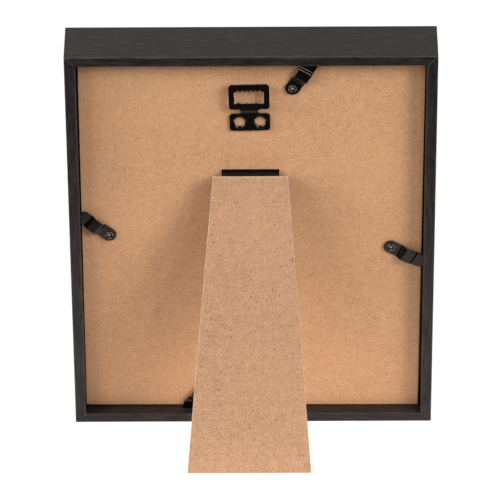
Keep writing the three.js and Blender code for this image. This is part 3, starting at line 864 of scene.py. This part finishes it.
# Sawtooth hanger: a pressed sheet with a neck, a toothed window and claws bent down in two diamond holes
# The window's bright edge is partly thin coat and partly a painted highlight.
hanger = {
    "place": (-0.8, 214.2, -8.1), "turn": 1.2, "width": 24.2, "height": 34.3, "plate": 12.1, "neck": 10,
    "neckHeight": 4.7, "fillet": 1.7, "corner": 2, "thick": 1.0, "edge": 0.24, "rise": 2.4,
    "rampMargin": 1.0, "soft": 0.5, "window": 8.65, "windowLow": 21.3, "windowHigh": 29.1,
    "windowCorner": 0.35, "notches": 6, "notchDepth": 1.5, "toothMargin": 0.95, "toothRound": 0.14,
    "notchRound": 0.16, "nub": (0.55, 0.4), "nubRound": 0.12, "nubFlare": 0.25, "clawAt": 6.05,
    "clawHeight": 6.05, "bareAndGlintSides": 1.0, "bareAndGlintBottom": 0.55, "bareAndGlintReach": 0.05, "faceMargin": 0.01,
}
# Each claw hole: four petals bend down from straight lines to a round opening, with a notch between two.
# Angles are in degrees from the middle of a petal.
# The bright line on the lower petals is a painted highlight.
claw = {
    "bendLine": 3.95, "corner": 4.42, "opening": 3.2, "petal": 30, "bend": 0.95, "bendSteps": 7,
    "notch": 0.8, "notchSide": 0.6, "notchAngles": (38, 45), "petalAngles": (-20, -10, 0, 10, 20),
    "foot": -0.25, "lap": 0.04, "wall": 0.3, "bareAndGlintRow": 5, "bareAndGlintAngle": 20,
}
clawSides = (-1, 1)


def hangerLoops():
    half, neck = hanger["width"] / 2, hanger["neck"] / 2
    low = hanger["plate"]
    high = low + hanger["neckHeight"]
    corner, fillet = hanger["corner"], hanger["fillet"]
    nub, drop = hanger["nub"]
    right = [
        (nub + hanger["nubFlare"], 0, 0), (half, 0, corner), (half, low, corner), (neck, low, fillet),
        (neck, high, fillet), (half, high, corner), (half, hanger["height"], corner),
    ]
    left = [(-x, y, radius) for x, y, radius in reversed(right)]
    foot = [(-nub, -drop, hanger["nubRound"]), (nub, -drop, hanger["nubRound"])]
    outline = rounded(right + left + foot, 5)
    span, windowLow, windowHigh = (hanger[key] for key in ("window", "windowLow", "windowHigh"))
    teeth = []
    pitch = (2 * span - 2 * hanger["toothMargin"]) / hanger["notches"]
    for index in range(hanger["notches"] + 1):
        x = span - hanger["toothMargin"] - index * pitch
        teeth.append((x, windowHigh, hanger["toothRound"]))
        if index < hanger["notches"]:
            teeth.append((x - pitch / 2, windowHigh + hanger["notchDepth"], hanger["notchRound"]))
    turn = hanger["windowCorner"]
    bottom = [(-span, windowLow, turn), (span, windowLow, turn), (span, windowHigh, turn)]
    window = rounded(bottom + teeth + [(-span, windowHigh, turn)], 4)
    loops = [outline, window[::-1]]
    for side in clawSides:
        hole = []
        for quarter in range(4):
            for swing in (-claw["petal"], claw["petal"]):
                angle = math.radians(45 + 90 * quarter + swing)
                reach = (claw["bendLine"] + claw["lap"]) / math.cos(math.radians(claw["petal"]))
                hole.append((side * hanger["clawAt"] + reach * math.cos(angle),
                             hanger["clawHeight"] + reach * math.sin(angle)))
        loops.append(hole[::-1])
    return loops


def clawRing():  # the bent metal round one opening, as rows from the sheet's face down to the board
    petal, steps = claw["petal"], claw["bendSteps"]
    wide, corner = claw["notchAngles"]
    side = petal + claw["notchSide"]
    swings = [-corner, -wide, -side, -petal, *claw["petalAngles"], petal, side, wide]
    columns = [(45 + 90 * quarter + swing, swing) for quarter in range(4) for swing in swings]
    top = hanger["thick"] - hanger["faceMargin"]
    work = bmesh.new()
    rows = []
    for step in range(steps + 2):
        row = []
        bent = min(step / steps, 1) * math.pi / 2
        for angle, swing in columns:
            turn = math.radians(angle)
            drop = claw["bend"] * (1 - math.cos(bent))
            if abs(swing) > petal:
                limit = claw["corner"] / math.cos(math.radians(corner - abs(swing)))
                drop += claw["notch"] * math.cos(bent)
            else:
                limit = claw["bendLine"] / math.cos(math.radians(swing))
            reach = claw["opening"] + (limit - claw["opening"]) * (1 - math.sin(bent))
            height = top - drop if step <= steps else claw["foot"]
            row.append(work.verts.new((reach * math.cos(turn), reach * math.sin(turn), height)))
        rows.append(row)
    for upper, lower in zip(rows, rows[1:]):
        for step in range(len(columns)):
            following = (step + 1) % len(columns)
            work.faces.new([upper[step], lower[step], lower[following], upper[following]])
    bmesh.ops.recalc_face_normals(work, faces=work.faces)
    mesh = bpy.data.meshes.new("clawRing")
    work.to_mesh(mesh)
    work.free()
    bareAndGlintOn = mesh.attributes.new("bareLine", "FLOAT", "POINT")
    # a painted highlight: the bright line goes only on the lower petals, which face the light
    for index, mark in enumerate(bareAndGlintOn.data):  # a bright line on the lower petals
        row, (angle, swing) = index // len(columns), columns[index % len(columns)]
        if row == claw["bareAndGlintRow"] and abs(swing) <= claw["bareAndGlintAngle"] and angle > 180:
            mark.value = 1.0
    holder = newObject("clawRing", mesh)
    wall = holder.modifiers.new("wall", "SOLIDIFY")
    wall.thickness = claw["wall"]
    wall.offset = -1
    made = evaluatedMesh(holder)
    discard(holder)
    return made


def makeHanger():
    margin = hanger["rampMargin"]
    ramp = (hanger["plate"] + margin, hanger["plate"] + hanger["neckHeight"] - margin)
    height, slope, cuts = hump([(*ramp, hanger["rise"], hanger["soft"], hanger["soft"])])
    mesh = cutSheet("hanger", hangerLoops(), hanger["thick"], hanger["edge"], cuts)
    bareAndGlintOn = mesh.attributes.new("bareLine", "FLOAT", "POINT")
    reach = hanger["edge"] + hanger["bareAndGlintReach"]
    low, high = hanger["windowLow"], hanger["windowHigh"]
    # a painted highlight on the window's edge, where its cut face catches the light, and bare metal where the coat
    # is thin
    for vertex, mark in zip(mesh.vertices, bareAndGlintOn.data):  # the window's edge, where the coat is thin
        x, y, z = vertex.co
        inWindow = abs(x) < hanger["window"] + reach and low - reach < y < high
        onEdge = hanger["faceMargin"] < z < hanger["thick"] - hanger["faceMargin"]
        if inWindow and onEdge:
            mark.value = hanger["bareAndGlintBottom"] if y < low + reach else hanger["bareAndGlintSides"]
    bendSheet(mesh, height, slope)
    work = bmesh.new()
    work.from_mesh(mesh)
    for side in clawSides:
        ring = clawRing()
        ring.transform(Matrix.Translation((side * hanger["clawAt"], hanger["clawHeight"], 0)))
        work.from_mesh(ring)
        bpy.data.meshes.remove(ring)
    work.to_mesh(mesh)
    work.free()
    turned = Matrix.Translation(hanger["place"]) @ turnedBy(hanger["turn"])
    piece = newPiece("sawtoothHanger", mesh, fromBehind @ turned, "black_metal")
    declare(piece, "frame", "black_metal", "sawtooth_hanger")
    print("hanger pressed, claw holes pierced:", len(clawSides))


makeHanger()

# Hinge and leg
leg = {
    "open": 25.7, "length": 181.4, "topWidth": 45, "footWidth": 75, "thick": 3, "seat": 1.8, "edge": 0.36,
    "footShift": -1.5, "corner": 0.4,
}
hingeEdge = 0.00016  # in metres


def makeStand():
    softenedCopy("boardLeaf", "hinge_board_leaf", hingeEdge, "black_metal", "frame")
    softenedCopy("hingePin", "hinge_pin", hingeEdge, "black_metal", "frame")
    softenedCopy("standLeaf", "hinge_stand_leaf", hingeEdge, "black_metal", "stand")
    top, foot, shift = leg["topWidth"] / 2, leg["footWidth"] / 2, leg["footShift"]
    points = [(shift - foot, -leg["length"]), (shift + foot, -leg["length"]), (top, 0), (-top, 0)]
    outline = rounded([(x, y, leg["corner"]) for x, y in points], 4)
    mesh = cutSheet("easelLeg", [outline], leg["thick"], leg["edge"], lift=leg["seat"])
    swung = Matrix.Translation(jointPlace("stand_hinge")) @ turnedBy(-leg["open"], "X")
    piece = newPiece("easelLeg", mesh, fromBehind @ swung, "leg_fibreboard")
    declare(piece, "stand", "leg_fibreboard", "easel_leg")
    print("hinge softened, leg cut")


makeStand()

# Studio: a floor that lights the object and one that the camera sees, two soft lights at each side,
# a strip above, one near the floor, and fills in front
studio = {
    "floorHalf": 4, "floorTone": (0.80, 0.80, 0.795), "floorShade": 0.985, "floorCloud": 0.4,
    "floorRoughness": 0.85, "floorGlow": 0.945, "paleGlow": 1.0, "glowDrop": 0.001, "glowFade": (0.1, 0.165),
    "underShade": 0.15, "underMiddle": 0.012, "underDepth": (0.025, 0.055), "underWidth": (0.07, 0.13),
    "surround": (1.0, 0.8, 0.64), "surroundStrength": 0.09, "aim": (0, 0, 0.12),
    "lights": {
        "rightSoftbox": {"place": (-1.503, 1.353, 1.106), "size": (0.7, 0.7), "power": 27},
        "rightSideSoftbox": {"place": (-1.724, 1.12, 1.035), "size": (0.9, 0.9), "power": 21.5},
        "leftSoftbox": {"place": (1.562, 1.311, 1.071), "size": (0.9, 0.9), "power": 23},
        "leftSideSoftbox": {"place": (2.093, 0.445, 0.815), "size": (1.0, 1.0), "power": 58},
        "topStrip": {"place": (0.0, 1.25, 1.55), "size": (1.5, 0.14), "power": 3},
        "frontFill": {"place": (0.2, -1.6, 1.3), "size": (1.4, 1.4), "power": 5.5},
        "frontLeftFill": {"place": (1.25, -1.5, 0.3), "size": (1.5, 1.5), "power": 20},
        "frontRightFill": {"place": (-1.25, -1.5, 0.3), "size": (1.5, 1.5), "power": 20},
        "lowStrip": {"place": (-0.42, 0.9, 0.125), "size": (0.06, 0.24), "power": 0.85},
    },
}


def floorMaterial(name, backlit):
    material, wire, shader = startMaterial(name)
    place = objectPlace(wire)
    cloudy = noise(place, studio["floorCloud"], 2, 0.5)
    darker = tuple(value * studio["floorShade"] for value in studio["floorTone"])
    feed(shader, tint(cloudy, darker, studio["floorTone"]), "Base Color")
    shader.inputs["Roughness"].default_value = studio["floorRoughness"]
    if backlit:  # the part of the floor that lights the object ends behind the foot
        depth = place.node("ShaderNodeSeparateXYZ", {}, {"Vector": place}, "Y")
        lit = 1 - ease(depth, *studio["glowFade"])
        sideways = depth.math("ABSOLUTE", depth.also("X"))
        lengthways = depth.math("ABSOLUTE", depth - studio["underMiddle"])
        under = (1 - ease(sideways, *studio["underWidth"])) * (1 - ease(lengthways, *studio["underDepth"]))
        lit = lit * (1 - under * studio["underShade"])  # the object's own shade
    else:
        lit = cloudy * 0.01 + 0.99
    feed(shader, tint(lit, (0, 0, 0), (1, 1, 1)), "Emission Color")
    shader.inputs["Emission Strength"].default_value = studio["floorGlow" if backlit else "paleGlow"]
    return material


def makeFloor(name, backlit):
    mesh = bpy.data.meshes.new(name)
    half, low = studio["floorHalf"], -studio["glowDrop"] if backlit else 0
    corners = [(-half, -half, low), (half, -half, low), (half, half, low), (-half, half, low)]
    mesh.from_pydata(corners, [], [(0, 1, 2, 3)])
    mesh.materials.append(floorMaterial(name, backlit))
    floor = newObject(name, mesh)
    return floor


def makeStudio():
    glow = makeFloor("glowFloor", True)  # lights the object and shows in its gloss
    glow.visible_camera = False
    pale = makeFloor("paleFloor", False)  # what the camera sees
    for rays in ("diffuse", "glossy", "transmission", "volume_scatter", "shadow"):
        setattr(pale, "visible_" + rays, False)
    unlit = bpy.data.collections.new("unlitFloor")
    for order, floor in enumerate((glow, pale)):
        unlit.objects.link(floor)
        unlit.collection_objects[order].light_linking.link_state = "EXCLUDE"
    world = bpy.data.worlds.new("surround")
    world.use_nodes = True
    background = world.node_tree.nodes["Background"]
    background.inputs["Color"].default_value = (*studio["surround"], 1)
    background.inputs["Strength"].default_value = studio["surroundStrength"]
    scene.world = world
    for name, light in studio["lights"].items():
        lamp = bpy.data.lights.new(name, "AREA")
        lamp.shape = "RECTANGLE"
        lamp.size, lamp.size_y = light["size"]
        lamp.energy = light["power"]
        holder = newObject(name, lamp)
        holder.light_linking.receiver_collection = unlit
        holder.location = light["place"]
        sight = Vector(studio["aim"]) - Vector(light["place"])
        holder.rotation_euler = sight.to_track_quat("-Z", "Y").to_euler()
    scene.view_settings.view_transform = "Standard"
    print("studio lit by", len(studio["lights"]), "soft lights")


makeStudio()

# Camera: from behind and above, in the drawing's own axes
camera = {
    "focal": 344.83, "sensor": 36, "pitch": 36.0933, "yaw": -0.2376, "roll": 0.2281,
    "shift": (2.082, -106.351, -2967.705), "reach": 50,
}


def makeCamera():
    lens = bpy.data.cameras.new("camera")
    lens.sensor_width = camera["sensor"]
    lens.lens = camera["focal"]
    lens.clip_end = camera["reach"]
    holder = newObject("camera", lens)
    turn = turnedBy(camera["roll"]) @ turnedBy(camera["yaw"], "Y") @ turnedBy(camera["pitch"], "X")
    seen = (Matrix.Translation(camera["shift"]) @ turn).inverted()
    place = fromBehind @ seen
    spot, turned, _ = place.decompose()
    holder.location = spot
    holder.rotation_euler = turned.to_euler()
    scene.camera = holder
    print("camera at", [round(value, 4) for value in spot])


makeCamera()
